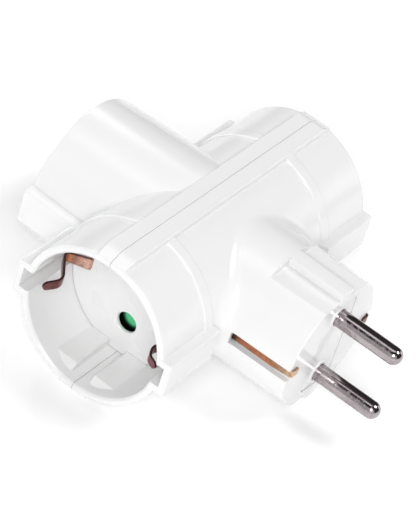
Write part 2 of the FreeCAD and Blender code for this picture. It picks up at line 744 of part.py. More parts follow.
def plug_pin():
    """Turned pin with a domed tip, a thicker root and collar in the block and a riveted tail."""
    tip = PLUG_REACH + PIN_LENGTH
    collar_out = PLUG_REACH - FACE_WALL - COLLAR_SEAT
    collar_in = collar_out - COLLAR_LENGTH
    shoulder = TAB_REACH + BUS_THICK + SLIDE_GAP
    head = TAB_REACH - SLIDE_GAP
    pin = turned([
        (head - TAIL_HEAD, 0),
        (head - TAIL_HEAD, TAIL_HEAD_R, TAIL_HEAD / 2),
        (head, TAIL_HEAD_R),
        (head, TAIL_R),
        (shoulder, TAIL_R),
        (shoulder, PIN_ROOT_R),
        (collar_in, PIN_ROOT_R),
        (collar_in, COLLAR_R),
        (collar_out, COLLAR_R),
        (collar_out, PIN_ROOT_R),
        (PLUG_REACH, PIN_ROOT_R),
        (PLUG_REACH, PIN_R),
        (tip, PIN_R, PIN_R - PIN_TIP_FLAT),
        (tip, 0),
    ])
    pin = facing(pin, -90)
    pin.translate(Vector(0, 0, PIN_Z))
    return pin


def carrier_corners(gap):
    x = CARRIER_HALF + gap
    z = CARRIER_HEIGHT + gap
    return [(a, b, CARRIER_CORNER) for a, b in ((-x, -z), (x, -z), (x, z), (-x, z))]


def pin_carrier():
    """Block that fills the window in the plug's face and holds both pins."""
    inner = PLUG_REACH - FACE_WALL
    face = plate(carrier_corners(0), inner - SLIDE_GAP, PLUG_REACH - CARRIER_SUNK)
    face.rotate(ORIGIN, AXIS_X, 90)
    limit = FLAT_HEIGHT - FLAT_WALL - FIT_GAP
    flange = rod(PLUG_CAVITY_R - FIT_GAP, CARRIER_BACK, inner - SLIDE_GAP, -AXIS_Y)
    flange = flange.common(block(-CARRIER_FLANGE_HALF, CARRIER_FLANGE_HALF, -PLUG_REACH, 0, -limit, limit))
    shapes = [face, flange]
    cuts = []
    for side in (-1, 1):
        place = Vector(0, 0, side * PIN_Z)
        shapes.append(rod(ROOT_RING_R, inner, PLUG_REACH, -AXIS_Y, place))
        cuts.append(rod(PIN_ROOT_R + SLIDE_GAP, 0, PLUG_REACH + OVERCUT, -AXIS_Y, place))
        seat = inner - COLLAR_SEAT + SLIDE_GAP
        cuts.append(rod(COLLAR_R + SLIDE_GAP, 0, seat, -AXIS_Y, place))
    return fused(shapes).cut(fused(cuts))


def plug_earth_clip():
    """Strip in the plug's +X groove, hooked over the face and led in to the earth plate."""
    bend = -PLUG_REACH + GROOVE_LENGTH - SHEET / 2
    path = [
        (HOOK_PLACE, -PLUG_REACH - SHEET / 2, 0),
        (STRIP_LIE, -PLUG_REACH - SHEET / 2, SHEET),
        (STRIP_LIE, bend, 2 * SHEET),
        (STRIP_INSIDE, bend + 4 * SHEET, 2 * SHEET),
        (STRIP_INSIDE, -STRIP_TAIL, 0),
    ]
    strip = bent_strip(path, SHEET, STRIP_HALF)
    tab = block(STRIP_INSIDE - SHEET / 2, STRIP_INSIDE + SHEET / 2,
                -STRIP_TAIL - TONGUE_TAB, -STRIP_TAIL, 0, TAB_TOP)
    return strip.fuse(tab).removeSplitter()


def earth_plate():
    """Flat frame that joins the six earth contacts to the two plug clips."""
    half = [
        (PLATE_FRONT_HALF, -PLATE_FRONT),
        (PLATE_FRONT_HALF, -PLATE_REACH_Y),
        (PLATE_REACH_X, -PLATE_REACH_Y),
        (PLATE_REACH_X, -PLATE_SHOULDER),
        (PLATE_SIDE, -PLATE_SHOULDER),
        (PLATE_SIDE, PLATE_SHOULDER),
        (PLATE_REACH_X, PLATE_SHOULDER),
        (PLATE_REACH_X, PLATE_REACH_Y),
        (PLATE_SHOULDER, PLATE_REACH_Y),
        (PLATE_SHOULDER, PLATE_REAR),
    ]
    other = [(-x, y) for x, y in half]
    high = PLATE_HEIGHT + PLATE_THICK
    sheet = plate(half + other[::-1], PLATE_HEIGHT, high)
    cuts = [block(-PLATE_WINDOW_X, PLATE_WINDOW_X, -PLATE_WINDOW_Y, PLATE_WINDOW_Y, 0, high + OVERCUT)]
    gap = SLIDE_GAP
    for turn, reach in SOCKETS.values():
        tongue = reach - RECESS_DEPTH - TONGUE_LENGTH
        low, far = EARTH_PLACE - SHEET / 2 - gap, EARTH_PLACE + SHEET / 2 + gap
        slot = block(tongue - gap, tongue + TONGUE_TAB + gap, low, far, 0, high + OVERCUT)
        cuts.append(facing(slot, turn))
        cuts.append(facing(mirrored(slot, AXIS_Y), turn))
    slot = block(STRIP_INSIDE - SHEET / 2 - gap, STRIP_INSIDE + SHEET / 2 + gap,
                 -STRIP_TAIL - TONGUE_TAB - gap, -STRIP_TAIL + gap, 0, high + OVERCUT)
    cuts.append(slot)
    cuts.append(mirrored(slot, AXIS_X))
    return sheet.cut(Part.makeCompound(cuts))


def housing_screw():
    """Screw from the rear socket's floor into the front shell's boss."""
    floor = REAR_REACH - RECESS_DEPTH
    seat = floor - SCREW_HEAD - FIT_GAP + SLIDE_GAP
    shank = turned([
        (-SCREW_END, 0),
        (-SCREW_END, SCREW_R, SCREW_R / 2),
        (seat, SCREW_R),
        (seat, SCREW_HEAD_R),
        (seat + SCREW_HEAD, SCREW_HEAD_R, SCREW_HEAD / 3),
        (seat + SCREW_HEAD, 0),
    ])
    slot_half = SCREW_HEAD / 4
    deep = seat + SCREW_HEAD / 2
    cross = [
        block(deep, floor, -SCREW_CROSS, SCREW_CROSS, -slot_half, slot_half),
        block(deep, floor, -slot_half, slot_half, -SCREW_CROSS, SCREW_CROSS),
    ]
    return facing(shank.cut(fused(cross)), SOCKETS["rear"][0])


def main():
    os.makedirs("parts", exist_ok=True)
    front, rear = shells()
    write("front_housing", front)
    write("rear_housing", rear)
    rivets = []
    for side, (turn, reach) in SOCKETS.items():
        write(side + "_socket_floor", facing(socket_floor(reach, side == "rear"), turn))
        write(side + "_shutter", facing(shutter(reach), turn))
        write(side + "_shutter_keeper", facing(shutter_keeper(reach), turn))
        write(side + "_shutter_spring", facing(shutter_spring(reach), turn))
        contact = earth_contact(reach)
        write(side + "_earth_contact_1", facing(contact, turn))
        write(side + "_earth_contact_2", facing(mirrored(contact, AXIS_Y), turn))
        fork = live_contact(reach)
        write(side + "_line_contact", facing(fork, turn))
        write(side + "_neutral_contact", facing(mirrored(fork, AXIS_Z), turn))
        rivets.append(facing(rivet(reach), turn))
        rivets.append(facing(mirrored(rivet(reach), AXIS_Z), turn))
    write("contact_rivets", Part.makeCompound(rivets))
    write("line_busbar", busbar())
    write("neutral_busbar", mirrored(busbar(), AXIS_Z))
    write("line_pin", plug_pin())
    write("neutral_pin", mirrored(plug_pin(), AXIS_Z))
    write("pin_carrier", pin_carrier())
    write("right_plug_earth_clip", plug_earth_clip())
    write("left_plug_earth_clip", mirrored(plug_earth_clip(), AXIS_X))
    write("earth_plate", earth_plate())
    write("housing_screw", housing_screw())


main()
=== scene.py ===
# %% [markdown]
# A three-way socket adapter, dressed for a product picture.
# The frame holds the real sizes of every piece, so this script never moves
# or resizes one. It gives each piece its finish, makes the bent copper strips
# finer than the frame has them, adds black rims behind the shutters that stand
# in for the shade there, and sets the camera and the lights.

# %% Load the frame
import json
import math

import bpy
from mathutils import Matrix, Vector


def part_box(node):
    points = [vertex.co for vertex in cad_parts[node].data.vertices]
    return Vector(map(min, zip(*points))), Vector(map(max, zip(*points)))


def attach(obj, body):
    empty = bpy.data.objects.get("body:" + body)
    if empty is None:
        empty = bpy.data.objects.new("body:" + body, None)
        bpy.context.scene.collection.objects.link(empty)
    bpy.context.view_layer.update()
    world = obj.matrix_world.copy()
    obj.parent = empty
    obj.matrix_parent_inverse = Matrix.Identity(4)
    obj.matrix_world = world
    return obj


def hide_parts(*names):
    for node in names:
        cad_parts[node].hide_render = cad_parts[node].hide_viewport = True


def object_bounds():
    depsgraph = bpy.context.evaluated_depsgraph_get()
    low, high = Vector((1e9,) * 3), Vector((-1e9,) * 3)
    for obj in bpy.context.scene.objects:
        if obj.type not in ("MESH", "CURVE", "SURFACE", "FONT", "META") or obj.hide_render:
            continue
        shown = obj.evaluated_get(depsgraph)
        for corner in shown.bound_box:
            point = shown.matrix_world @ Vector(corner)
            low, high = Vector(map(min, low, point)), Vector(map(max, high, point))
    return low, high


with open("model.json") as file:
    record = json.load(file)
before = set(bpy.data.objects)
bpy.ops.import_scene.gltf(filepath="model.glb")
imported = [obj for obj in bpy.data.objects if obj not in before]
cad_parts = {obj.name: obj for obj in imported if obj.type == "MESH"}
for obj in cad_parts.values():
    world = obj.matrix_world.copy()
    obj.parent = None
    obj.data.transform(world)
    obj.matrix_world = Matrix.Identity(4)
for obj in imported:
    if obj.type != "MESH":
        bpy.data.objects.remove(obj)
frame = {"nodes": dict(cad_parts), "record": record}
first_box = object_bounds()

MM = 0.001
NODES = frame["nodes"]
CROSSING = Vector((0, 42.2))  # where the tubes' axes cross, in millimetres
print("pieces in the frame:", len(NODES))

# %% [markdown]
# The camera is the one that took the reference picture. It was found by
# fitting a pinhole camera to points on the adapter whose sizes are known:
# the pins, the pin spacing and the recess. Only its place, its aim and its
# roll are needed, and a lens long enough for that distance.

# %% Camera
CAMERA_AZIMUTH = math.radians(24.394)
CAMERA_DIP = math.radians(40.028)
CAMERA_ROLL = math.radians(19.104)
CAMERA_PLACE = Vector((-519.52, -197.91, 478.17)) * MM
CAMERA_LENS = 202.06


def make_camera():
    """Long lens at the reference picture's place, aimed and rolled as it was."""
    data = bpy.data.cameras.new("product_camera")
    data.lens = CAMERA_LENS
    data.sensor_width = 36.0
    data.clip_start = 0.01
    camera = bpy.data.objects.new("product_camera", data)
    bpy.context.collection.objects.link(camera)
    aim = Vector((
        math.cos(CAMERA_AZIMUTH) * math.cos(CAMERA_DIP),
        math.sin(CAMERA_AZIMUTH) * math.cos(CAMERA_DIP),
        -math.sin(CAMERA_DIP),
    ))
    level = aim.to_track_quat("-Z", "Y").to_matrix()
    turn = Matrix.Rotation(CAMERA_ROLL, 3, "Z")
    camera.matrix_world = Matrix.Translation(CAMERA_PLACE) @ (level @ turn).to_4x4()
    bpy.context.scene.camera = camera
    return camera


camera = make_camera()
print("camera at", [round(v, 3) for v in camera.location])

# %% [markdown]
# Shader maths reads best as plain sums, so a small class wraps a socket and
# turns each Python operator into a Math node. A second class holds a node
# tree and has a single method that adds any other node, and a third one, on
# top of it, holds one material.

# %% Shader helpers
class Level:
    """A number that changes over a surface. Operators on it add Math nodes."""

    def __init__(self, tree, socket):
        self.tree = tree
        self.socket = socket

    def math(self, operation, first, second=0.0):
        node = self.tree.nodes.new("ShaderNodeMath")
        node.operation = operation
        for slot, value in zip(node.inputs, (first, second)):
            fill(self.tree, slot, value)
        return Level(self.tree, node.outputs[0])

    def __add__(self, other):
        return self.math("ADD", self, other)

    def __sub__(self, other):
        return self.math("SUBTRACT", self, other)

    def __rsub__(self, other):
        return self.math("SUBTRACT", other, self)

    def __mul__(self, other):
        return self.math("MULTIPLY", self, other)

    def __truediv__(self, other):
        return self.math("DIVIDE", self, other)

    def __abs__(self):
        return self.math("ABSOLUTE", self)

    def root(self):
        return self.math("SQRT", self)

    def lesser(self, other):
        return self.math("MINIMUM", self, other)

    def greater(self, other):
        return self.math("MAXIMUM", self, other)

    __radd__ = __add__
    __rmul__ = __mul__


def fill(tree, slot, value):
    """Links a Level to a node's socket, or sets a plain value on it."""
    if isinstance(value, Level):
        tree.links.new(value.socket, slot)
    else:
        slot.default_value = value


class Nodes:
    """A node tree with one method that adds any node to it."""

    def __init__(self, tree):
        self.tree = tree

    def add(self, kind, settings=None, inputs=None, output=0):
        """Any node: its settings first, then values or links for its sockets."""
        node = self.tree.nodes.new(kind)
        for key, value in (settings or {}).items():
            if key == "stops":
                ramp = node.color_ramp.elements
                while len(ramp) < len(value):
                    ramp.new(0.5)
                for element, (position, colour) in zip(ramp, value):
                    element.position = position
                    element.color = colour
            else:
                setattr(node, key, value)
        for key, value in (inputs or {}).items():
            fill(self.tree, node.inputs[key], value)
        return Level(self.tree, node.outputs[output])

    def axes(self, vector):
        """The X, Y and Z of a vector, each as a Level."""
        split = self.add("ShaderNodeSeparateXYZ", inputs={0: vector}).socket.node
        return [Level(self.tree, output) for output in split.outputs]


class Finish(Nodes):
    """One material with a Principled shader, built from measured object coordinates."""

    def __init__(self, name, metallic=0.0):
        self.material = bpy.data.materials.new(name)
        self.material.use_nodes = True
        super().__init__(self.material.node_tree)
        self.skin = self.tree.nodes["Principled BSDF"]
        self.skin.inputs["Metallic"].default_value = metallic
        self.place = self.add("ShaderNodeTexCoord", output="Object")

    def noise(self, scale, detail=2.0, place=None):
        return self.add("ShaderNodeTexNoise", inputs={
            "Vector": place or self.place, "Scale": scale, "Detail": detail})

    def stretched(self, scale):
        """Object coordinates squeezed differently along each axis, for streaks."""
        return self.add("ShaderNodeMapping", {"vector_type": "POINT"}, {
            "Vector": self.place, "Scale": scale})

    def ramp(self, level, *stops):
        """Turns a level into another through straight stops of (position, value)."""
        colours = [(position, (value, value, value, 1.0)) for position, value in stops]
        return self.add("ShaderNodeValToRGB", {"stops": colours}, {"Fac": level})

    def mix(self, level, first, second):
        """Colour that goes from first to second as the level goes from 0 to 1."""
        return self.add("ShaderNodeMix", {"data_type": "RGBA"}, {
            "Factor": level, 6: first, 7: second}, output=2)

    def bump(self, level, depth_mm, under=None):
        """Raises the surface where the level is high, by the depth at most."""
        inputs = {"Height": level, "Strength": 1.0, "Distance": depth_mm * MM}
        if under is not None:
            inputs["Normal"] = under
        return self.add("ShaderNodeBump", inputs=inputs)

    def soft_edges(self, radius_mm):
        """Normals that turn gently over sharp corners, as on any moulding."""
        return self.add("ShaderNodeBevel", {"samples": 6}, {"Radius": radius_mm * MM})

    def wear(self, colour=None, roughness=None, normal=None):
        """Feeds the sockets that may change over the surface."""
        for name, value in (
                ("Base Color", colour), ("Roughness", roughness), ("Normal", normal)):
            if value is not None:
                fill(self.tree, self.skin.inputs[name], value)
        return self.material


def tint(red, green, blue, share=1.0):
    return (red * share, green * share, blue * share, 1.0)


print("shader helpers ready")

# %% [markdown]
# The floor is plain, pale and a little aglow, like the lit paper sweep under
# a product.

# %% Floor
FLOOR_HALF = 3.0
FLOOR_GLOW = 0.16
PAPER_SCALE = 6.0
WHITE = (1.0, 1.0, 1.0)


def make_floor():
    paper = Finish("studio_paper")
    shade = paper.noise(PAPER_SCALE)
    paper.wear(paper.mix(shade, tint(*WHITE, 0.9), tint(*WHITE, 0.92)), shade * 0.1 + 0.8)
    paper.skin.inputs["Emission Color"].default_value = tint(*WHITE)
    paper.skin.inputs["Emission Strength"].default_value = FLOOR_GLOW
    low = first_box[0][2]
    mesh = bpy.data.meshes.new("studio_floor")
    sides = ((-1, -1), (1, -1), (1, 1), (-1, 1))
    corners = [(x * FLOOR_HALF, y * FLOOR_HALF, low) for x, y in sides]
    mesh.from_pydata(corners, [], [(0, 1, 2, 3)])
    mesh.materials.append(paper.material)
    floor = bpy.data.objects.new("studio_floor", mesh)
    bpy.context.collection.objects.link(floor)


make_floor()
print("floor at", round(first_box[0][2] / MM, 2), "mm")

# %% [markdown]
# A world of one grey would leave the bright pins dull, because a polished pin
# shows only what stands round it. So the world is a dark room with one pale
# wall on the left, up to a bit above eye level.

# %% World
ROOM = 0.05
WALL = 0.65
WALL_TOP = (0.6, 0.72)
WALL_SIDE = (0.25, 0.45)


def make_world():
    """Dark room with a pale wall on the left, worked out from the direction looked in."""
    world = bpy.data.worlds.new("studio")
    world.use_nodes = True
    studio = Nodes(world.node_tree)

    def step(level, start, end):
        return studio.add("ShaderNodeMapRange", {"interpolation_type": "SMOOTHSTEP"}, {
            "Value": level, "From Min": start, "From Max": end}, "Result")

    along, _, high = studio.axes(studio.add("ShaderNodeTexCoord", output="Generated"))
    wall = step(0.0 - along, *WALL_SIDE) * (1.0 - step(high, *WALL_TOP))
    sky = studio.tree.nodes["Background"]
    fill(studio.tree, sky.inputs["Strength"], wall * (WALL - ROOM) + ROOM)
    sky.inputs["Color"].default_value = tint(*WHITE)
    bpy.context.scene.world = world


make_world()
print("room", ROOM, "and wall", WALL)

# %% [markdown]
# Each lamp is a large soft box, given by the direction it shines from and
# by its width and height. A long one overhead draws the bright line
# along the pins. The others even out the white plastic, and stand where the
# pins don't mirror them: a straight pin mirrors only a narrow arc of the room.

# %% Lamps
MIDDLE = Vector((0, 42, 0)) * MM
LAMPS = {  # direction, distance, width and height, power
    "overhead_strip": ((-0.07, 0.15, 0.93), 1.0, (0.34, 0.9), 1.0),
    "left_box": ((-0.72, -0.33, 0.62), 1.2, (0.5, 0.5), 7.15),
    "high_front_box": ((0.31, -0.5, 0.8), 1.2, (0.5, 0.5), 5.75),
    "right_rear_box": ((0.5, 0.6, 0.62), 1.2, (0.5, 0.5), 3.2),
    "low_rear_box": ((0.0, 0.98, 0.21), 1.2, (0.5, 0.5), 3.6),
    "low_right_box": ((0.83, -0.5, 0.21), 1.2, (0.5, 0.5), 1.0),
}


def make_lamp(name, way, distance, size, power):
    """Oval soft box in that direction, aimed at the adapter's middle."""
    data = bpy.data.lights.new(name, "AREA")
    data.shape = "ELLIPSE"
    data.size, data.size_y = size
    data.energy = power
    lamp = bpy.data.objects.new(name, data)
    bpy.context.collection.objects.link(lamp)
    away = Vector(way).normalized()
    lamp.location = MIDDLE + away * distance
    lamp.rotation_euler = away.to_track_quat("Z", "Y").to_euler()


for name, settings in LAMPS.items():
    make_lamp(name, *settings)
bpy.context.scene.view_settings.view_transform = "Standard"
print("lamps:", len(LAMPS))

# %% [markdown]
# The shell is glossy white ABS. Real mouldings are never optically flat:
# thick places sink a little as they cool, and the mould's polish leaves a
# fine orange peel. Both only bend the reflections, so they go into the
# bump. Handling leaves faint dull patches and a few dark specks. The shutters
# are of green plastic. Towards the blades' round ends, which lie in the shade
# of the pin holes, the green is darkened by painted shade.

# %% Moulded plastics
# Object coordinates are in metres, so the scales count repeats to the metre.
PATCH_SCALE = 45.0
CLOUD_SCALE = 140.0
SPECK_SCALE = 130.0
CHANCE_SCALE = 70.0
SINK_SCALE = 90.0
PEEL_SCALE = 1300.0
PEEL_MM = 0.0012
PLASTIC_IOR = 1.53
SPECK_BROWN = (0.35, 0.32, 0.3)
# The next numbers place and colour the painted shade on the shutter blades.
HOLE_UP = 9.5  # from the socket's axis, as the pins are
BLADE_SPAN = 3.6
BLADE_PAINTED_SHADE = (0.004, 0.05, 0.02)


def painted_blade_shade(plastic):
    """Painted shade: a level that rises to 1 towards the rim of each round shutter blade."""
    x, y, z = plastic.axes(plastic.place)
    aside = abs(x).lesser(abs(y - CROSSING.y * MM))
    up = abs(z) - HOLE_UP * MM
    away = (aside * aside + up * up).root()
    return plastic.ramp(away * (1.0 / (BLADE_SPAN * MM)), (0.6, 0.0), (0.86, 1.0))


def moulded(name, colour, sink_mm=0.02, gloss=0.2, specks=0.35, edge_mm=0.25, shine=0.5,
            blades=False):
    """Moulded plastic with patches, specks, sink marks, orange peel and soft edges; with blades,
    painted shade at the blades' round ends.
    """
    plastic = Finish(name)
    patches = plastic.noise(PATCH_SCALE, 3.0)
    cloud = plastic.noise(CLOUD_SCALE, 2.0)
    shade = plastic.mix(patches, tint(*colour), tint(*colour, 0.985))
    cell = plastic.add("ShaderNodeTexVoronoi", {"feature": "F1"}, {
        "Vector": plastic.place, "Scale": SPECK_SCALE}, "Distance")
    chance = plastic.noise(CHANCE_SCALE, 0.0)
    speck = plastic.ramp(cell, (0.018, 1.0), (0.03, 0.0))
    speck = speck * plastic.ramp(chance, (0.62, 0.0), (0.64, 1.0))
    shade = plastic.mix(speck * specks, shade, tint(*SPECK_BROWN))
    # Painted shade: the blades' round ends, shaded by the pin holes, are darkened.
    if blades:
        shade = plastic.mix(painted_blade_shade(plastic), shade, tint(*BLADE_PAINTED_SHADE))
    rough = cloud * 0.08 + patches * 0.06 + (gloss - 0.07)
    edges = plastic.soft_edges(edge_mm)
    sink = plastic.bump(plastic.noise(SINK_SCALE, 1.0), sink_mm, edges)
    peel = plastic.bump(plastic.noise(PEEL_SCALE, 1.0), PEEL_MM, sink)
    plastic.skin.inputs["IOR"].default_value = PLASTIC_IOR
    plastic.skin.inputs["Specular IOR Level"].default_value = shine
    return plastic.wear(shade, rough, peel)


SHELL = (0.86, 0.86, 0.86)
MATERIALS = {
    "shell_white": moulded("shell_white", SHELL),
    "floor_white": moulded("floor_white", SHELL, sink_mm=0.004, gloss=0.28),
    "shutter_green": moulded(
        "shutter_green", (0.14, 0.78, 0.36), gloss=0.4, specks=0.1, blades=True),
    # Near black; it also dresses the rims below that stand in for shade.
    "keeper_black": moulded("keeper_black", (0.006, 0.006, 0.006), gloss=0.5, shine=0.03),
    "carrier_white": moulded("carrier_white", SHELL, edge_mm=0.1),
}
print("plastics:", len(MATERIALS))

# %% [markdown]
# The metals differ in wear. The nickelled pins have fine streaks from going in
# and out of sockets, dull patches between them and a mottled band along one
# side. The brass and the steel inside are plainer.

# %% Streaked metals
METAL_PATCH_SCALE = 260.0
RUB_SCALE = 900.0


def worn_metal(name, clean, dull, streaks, roughness, depth_mm=0.004, blotch=0.0):
    """Metal with streaks along one axis and duller patches between them."""
    metal = Finish(name, metallic=1.0)
    streak = metal.noise(1.0, 4.0, metal.stretched(streaks))
    patch = metal.noise(METAL_PATCH_SCALE, 4.0)
    worn = metal.ramp(streak * 0.55 + patch * 0.45, (0.4, 0.0), (0.62, 1.0))
    low, high = roughness
    facing = metal.axes(metal.add("ShaderNodeNewGeometry", output="Normal"))
    rubbed = metal.ramp(0.0 - facing[0], (0.45, 0.0), (0.6, 1.0))
    spots = metal.ramp(metal.noise(RUB_SCALE, 5.0), (0.5, 0.0), (0.58, 1.0))
    return metal.wear(
        metal.mix(worn, tint(*clean), tint(*dull)),
        worn * (high - low) + low + spots * rubbed * blotch,
        metal.bump(streak, depth_mm),
    )


MATERIALS["pin_nickel"] = worn_metal(
    "pin_nickel", (0.47, 0.42, 0.43), (0.33, 0.28, 0.3), (3200.0, 160.0, 3200.0),
    (0.08, 0.2), depth_mm=0.0008, blotch=0.2)
MATERIALS["earth_copper"] = worn_metal(
    "earth_copper", (0.62, 0.3, 0.2), (0.34, 0.15, 0.11), (900.0, 900.0, 900.0), (0.22, 0.42))
MATERIALS["contact_brass"] = worn_metal(
    "contact_brass", (0.78, 0.6, 0.3), (0.5, 0.36, 0.18), (700.0, 2200.0, 700.0), (0.2, 0.4))
MATERIALS["spring_steel"] = worn_metal(
    "spring_steel", (0.55, 0.55, 0.56), (0.35, 0.34, 0.34), (2400.0, 2400.0, 300.0), (0.2, 0.4))
MATERIALS["screw_steel"] = worn_metal(
    "screw_steel", (0.6, 0.6, 0.62), (0.42, 0.42, 0.43), (2000.0, 2000.0, 2000.0), (0.18, 0.35))
print("streaked metals made")

# %% [markdown]
# The copper strips are stamped from rolled sheet and have gone brown in the
# air, more so where they spring out into it. Each strip's mesh carries how far
# a point is from the tip and how far across it lies, and the colour follows
# those two numbers. Both edges of each strip are darkened, partly as oxide on
# the sheared edges and partly as painted shade. The clip on the right of the
# plug gets painted shade all over, and each clip darkens to near black where
# it dives under the plug's surface, which is painted shade too.

# %% Copper strips
STRIP_SPAN = 40.0 * MM
MOTTLE_AND_SHADE = (0.1, 0.04, 0.035)
MOTTLE_SCALE = 1300.0
TARNISH_SCALE = 500.0
ROLLED_SCALE = 1500.0
ROLLED_MM = 0.0015


def sprung_copper(name, stops, rims, right_clip_shade=0.0):
    """Copper strip whose tarnish changes along it; painted shade, with some oxide, darkens its
    edges, and can darken the strip on the right.
    """
    metal = Finish(name, metallic=1.0)
    left = metal.add("ShaderNodeAttribute", {"attribute_name": "from_tip"}, output="Fac")
    across = metal.add("ShaderNodeAttribute", {"attribute_name": "across"}, output="Fac")
    along = left * (1.0 / STRIP_SPAN)
    cloud = metal.noise(TARNISH_SCALE, 3.0)
    colours = [(place * MM / STRIP_SPAN, tint(*colour)) for place, colour in stops]
    face = metal.add("ShaderNodeValToRGB", {"stops": colours}, {
        "Fac": along + cloud * 0.04 - 0.02})
    mottle = metal.ramp(metal.noise(MOTTLE_SCALE, 3.0), (0.46, 0.0), (0.64, 1.0))
    face = metal.mix(mottle * 0.4, face, tint(*MOTTLE_AND_SHADE))
    # Painted shade, partly oxide: both edges of the strip are darkened.
    side = metal.ramp(across * across, (0.84, 0.0), (0.97, 1.0))
    rim = metal.mix(metal.ramp(along, (0.18, 0.0), (0.36, 1.0)), *(tint(*rim) for rim in rims))
    colour = metal.mix(side, face, rim)
    # Painted shade: the clip on the right of the plug lies in shadow, so its colour is darkened
    # all over.
    if right_clip_shade:  # the strip on the right of the plug is darker than the left one
        right = metal.ramp(metal.axes(metal.place)[0] * 20.0 + 0.5, (0.45, 0.0), (0.55, 1.0))
        colour = metal.mix(right * right_clip_shade, colour, tint(*MOTTLE_AND_SHADE))
    rolled = metal.bump(metal.noise(ROLLED_SCALE, 2.0), ROLLED_MM)
    return metal.wear(colour, cloud * 0.2 + 0.22, rolled)


# Stops: millimetres from the tip and the colour there. Rims: at the tip and at the root.
MATERIALS["contact_copper"] = sprung_copper("contact_copper", (
    (0.0, (0.27, 0.11, 0.11)), (6.0, (0.21, 0.08, 0.075)), (8.0, (0.2, 0.075, 0.065)),
    (14.0, (0.22, 0.08, 0.065)), (16.0, (0.55, 0.22, 0.12)), (17.5, (0.36, 0.17, 0.14)),
    (20.0, (0.8, 0.5, 0.38)), (30.0, (0.8, 0.48, 0.36))),
    rims=((0.07, 0.03, 0.03), (0.2, 0.09, 0.075)))
# The clip's last stops are painted shade: it darkens to near black where it dives under the plug's
# surface.
MATERIALS["clip_copper"] = sprung_copper("clip_copper", (
    (0.0, (0.3, 0.2, 0.14)), (0.6, (0.7, 0.48, 0.31)), (3.2, (0.62, 0.42, 0.27)),
    (5.0, (0.4, 0.26, 0.17)), (8.0, (0.42, 0.18, 0.09)), (16.0, (0.38, 0.15, 0.075)),
    (18.6, (0.3, 0.11, 0.06)), (19.4, (0.04, 0.02, 0.015))),
    rims=((0.45, 0.3, 0.2), (0.07, 0.03, 0.02)), right_clip_shade=0.9)
print("finishes:", len(MATERIALS))

# %% [markdown]
# Each earth contact is one strip of thin copper. It is stamped wide where it
# is held and narrower towards its round tip, then bent on a former so that
# it springs against the plug's clip. Geometry Nodes suit that: a few corner
# points carry the bend and the width there, and the tree rounds the corners
# and sweeps a straight profile along them. The plug's two clips are bent
# strips too, so they go through the same tree. All numbers are millimetres.
#
# Strips bent by hand are never quite alike: the first contact of each pair
# curls back further at its tip. The two clips are the same strip, one of them
# turned half round, so they sit on opposite sides of their grooves' middles.

# %% Corner points of the bent strips
FLOORS = {0: 26.0, 90: 21.4, 180: 26.0}  # each socket's direction and its floor's distance
SHEET_MM = 0.6
CONTACT_FOOT = (  # from the recess floor, from the socket's axis, bend radius, half width, lift
    (-9.0, 14.1, 0.0, 1.7, 0.0),
    (0.3, 14.1, 0.6, 1.7, 0.0),
    (3.2, 20.4, 1.2, 1.35, 0.0),
)
CONTACT = {  # by the side of the socket's axis
    1: CONTACT_FOOT + (
        (11.4, 14.3, 3.0, 1.2, 0.0), (14.8, 15.9, 3.0, 1.1, 0.0), (16.0, 18.9, 0.0, 1.0, 0.0)),
    -1: CONTACT_FOOT + (
        (11.5, 14.2, 3.4, 1.3, 0.0), (16.4, 16.6, 0.0, 1.2, 0.0)),
}
CONTACT_TIP = 1.2  # length of the rounded tip
CONTACT_TAB = -7.4  # where the tab's middle is
# The clip's sheet lies where the frame's clip lies, and bulges out along the groove.
CLIP_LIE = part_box("right_plug_earth_clip")[1][0] / MM - SHEET_MM / 2
CLIP_OUT = CLIP_LIE + 0.6
CLIP_LIFT = 0.6
CLIP_LINE = (  # from the crossing, from the plug's axis, bend radius, half width, lift
    (-14.6, 15.1, 0.0, 1.6, 0.0),
    (-22.3, 15.1, 1.2, 1.6, 0.0),
    (-24.3, CLIP_OUT, 1.2, 1.1, CLIP_LIFT),
    (-37.4, CLIP_OUT, 5.0, 1.1, CLIP_LIFT),
    (-42.5, CLIP_LIE, 0.4, 1.1, CLIP_LIFT),
    (-42.5, CLIP_LIE - 2.4, 0.0, 1.05, CLIP_LIFT),
)
CLIP = {1: CLIP_LINE, -1: CLIP_LINE}
CLIP_TIP = 0.3
CLIP_TAB = -16.2
TAB_LENGTH = 3.2
TAB_FOOT = 1.5
TAB_TOP = 5.2


def upright(turn):
    """The direction that a socket faces, and the one across it."""
    ahead = Vector((math.cos(math.radians(turn)), math.sin(math.radians(turn))))
    return ahead, Vector((-ahead.y, ahead.x))


def strip_runs(sides, starts, tip, tab_middle):
    """The corner points of one kind of strip at every place, and of the tabs on them."""
    runs = []
    tabs = []
    for turn, start in starts.items():
        ahead, aside = upright(turn)
        foot = CROSSING + ahead * start
        for side, corners in sides.items():
            runs.append([(foot + ahead * along + aside * side * away, side * lift, bend, half, tip)
                         for along, away, bend, half, lift in corners])
            tabs.append((foot + ahead * tab_middle + aside * side * corners[0][1],
                         math.radians(turn)))
    return runs, tabs


CONTACT_RUNS, CONTACT_TABS = strip_runs(CONTACT, FLOORS, CONTACT_TIP, CONTACT_TAB)
CLIP_RUNS, CLIP_TABS = strip_runs(CLIP, {90: 0.0}, CLIP_TIP, CLIP_TAB)
print("contacts:", len(CONTACT_RUNS), "clips:", len(CLIP_RUNS), "clip lies at", round(CLIP_LIE, 2))

# %% [markdown]
# A Geometry Nodes tree is built here like a recipe: it has named inputs, it
# runs once on a base mesh, and what it makes is kept as a plain mesh. The
# base mesh's points carry their own numbers for the tree to read.

# %% Geometry Nodes helper
SHARP_DEGREES = 40.0


